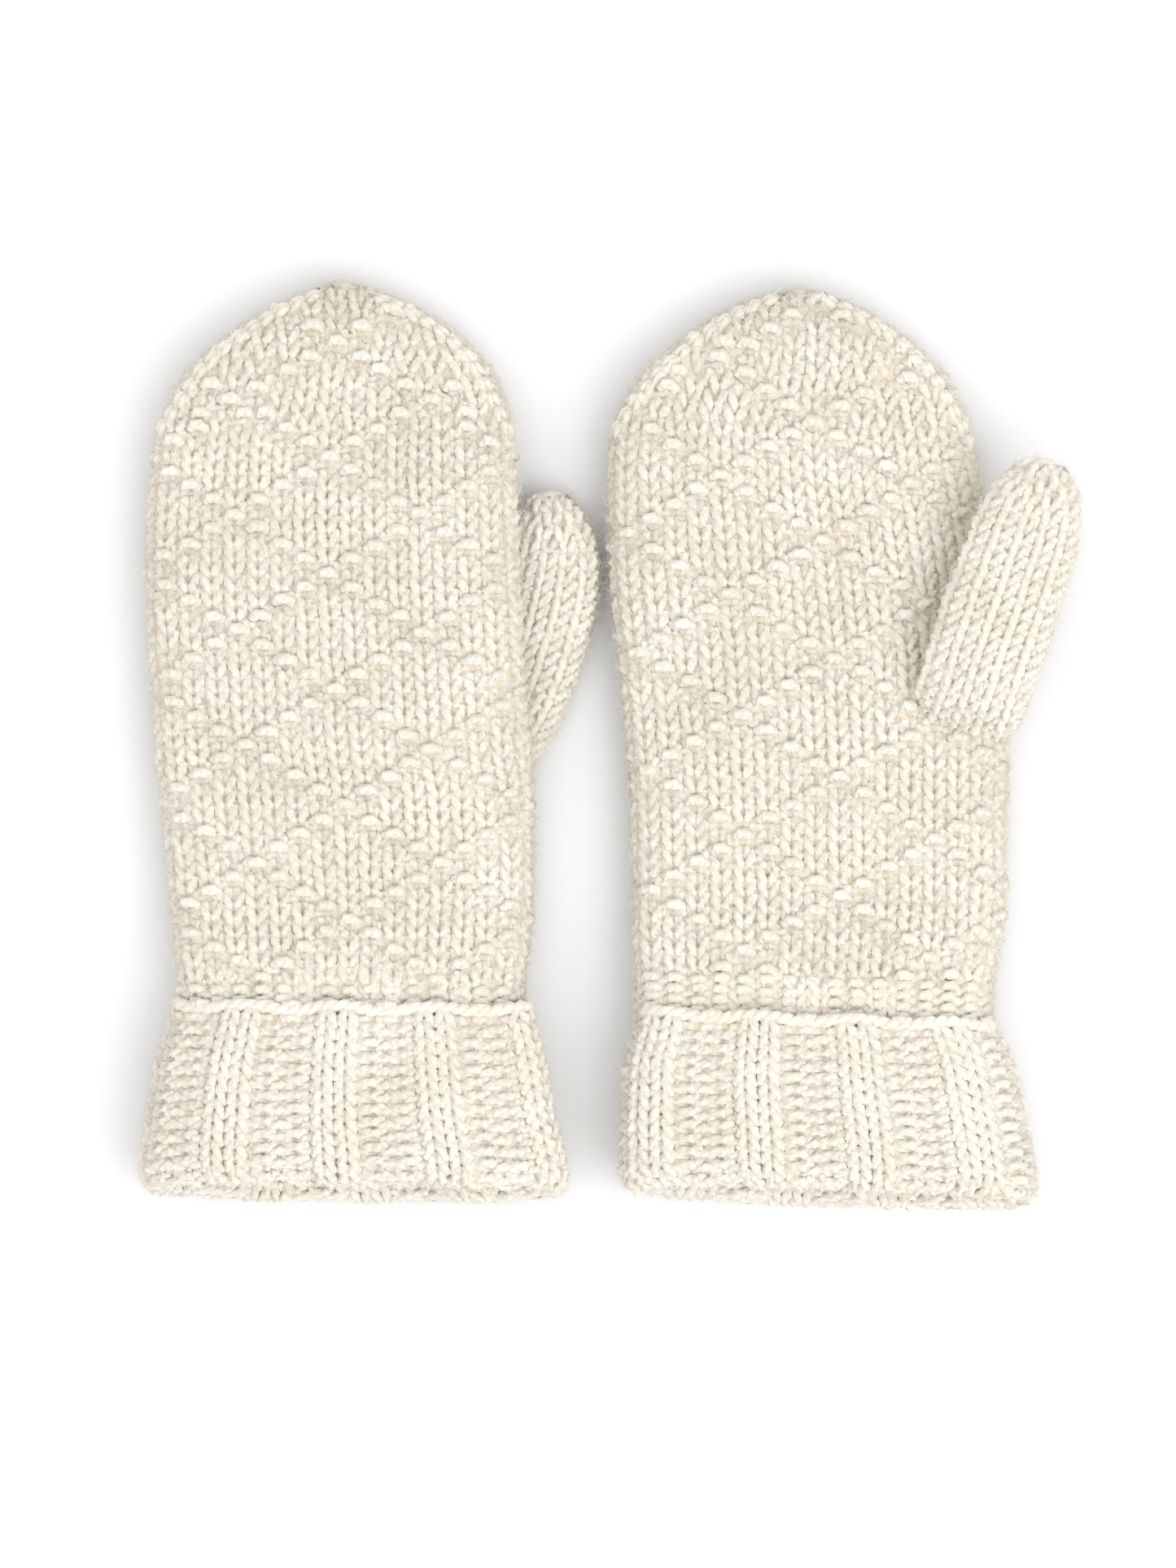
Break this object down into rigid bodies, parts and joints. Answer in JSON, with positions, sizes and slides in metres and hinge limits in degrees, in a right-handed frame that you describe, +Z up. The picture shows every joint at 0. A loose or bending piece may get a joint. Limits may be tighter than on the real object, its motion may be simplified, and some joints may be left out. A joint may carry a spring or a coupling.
{
  "type": "knitted mittens",
  "caption": "Pair of full knitted wool mittens with a diamond pattern of purl bumps, closed finger ends, separate thumbs and ribbed cuffs turned up over the wrist.",
  "frame": {"origin": "on the table, under the middle of the pair as it lies", "axes": "+Z up off the table, +Y from the cuffs to the finger tips, +X from the left mitten to the right one"},
  "size_m": [0.2552, 0.2541, 0.0345],
  "materials": {
    "hand_knit": "matt undyed wool, stocking stitch with raised purl bumps",
    "thumb_knit": "matt undyed wool, plain stocking stitch",
    "purl_knit": "matt undyed wool, purl side out",
    "rib_knit": "matt undyed wool, two by two rib",
    "edge_chain": "matt undyed wool, smooth cast-on chain"
  },
  "bodies": {
    "left_mitten": {"left_hand": "hand_knit", "left_purl_welt": "purl_knit", "left_inner_rib": "rib_knit"},
    "left_fingers": {"left_finger_end": "hand_knit", "left_finger_tip_gather": "hand_knit"},
    "left_thumb_tube": {"left_thumb": "thumb_knit", "left_thumb_tip_gather": "thumb_knit"},
    "left_cuff": {"left_turned_up_rib": "rib_knit", "left_cast_on_edge": "edge_chain"},
    "right_mitten": {"right_hand": "hand_knit", "right_purl_welt": "purl_knit", "right_inner_rib": "rib_knit"},
    "right_fingers": {"right_finger_end": "hand_knit", "right_finger_tip_gather": "hand_knit"},
    "right_thumb_tube": {"right_thumb": "thumb_knit", "right_thumb_tip_gather": "thumb_knit"},
    "right_cuff": {"right_turned_up_rib": "rib_knit", "right_cast_on_edge": "edge_chain"}
  },
  "joints": [
    {"name": "pair_spread", "type": "slide", "parent": "left_mitten", "child": "right_mitten", "axis": [1, 0, 0], "range_m": [0, 0.1]},
    {"name": "left_finger_fold", "type": "hinge", "parent": "left_mitten", "child": "left_fingers", "pos_m": [-0.0742, 0.08407, 0.024], "axis": [1, -0.01, 0], "range_deg": [0, 70]},
    {"name": "right_finger_fold", "type": "hinge", "parent": "right_mitten", "child": "right_fingers", "pos_m": [0.049, 0.08407, 0.0212], "axis": [0.9994, -0.036, 0], "range_deg": [0, 70]},
    {"name": "left_thumb_swing", "type": "hinge", "parent": "left_mitten", "child": "left_thumb_tube", "pos_m": [-0.0341, 0.01877, 0.0066], "axis": [0, 0, 1], "range_deg": [0, 14]},
    {"name": "right_thumb_swing", "type": "hinge", "parent": "right_mitten", "child": "right_thumb_tube", "pos_m": [0.0969, 0.01977, 0.0279], "axis": [0, 0, 1], "range_deg": [-30, 5]},
    {"name": "left_cuff_pull_down", "type": "slide", "parent": "left_mitten", "child": "left_cuff", "axis": [0, -1, 0], "range_m": [0, 0.03]},
    {"name": "right_cuff_pull_down", "type": "slide", "parent": "right_mitten", "child": "right_cuff", "axis": [0, -1, 0], "range_m": [0, 0.03]}
  ]
}
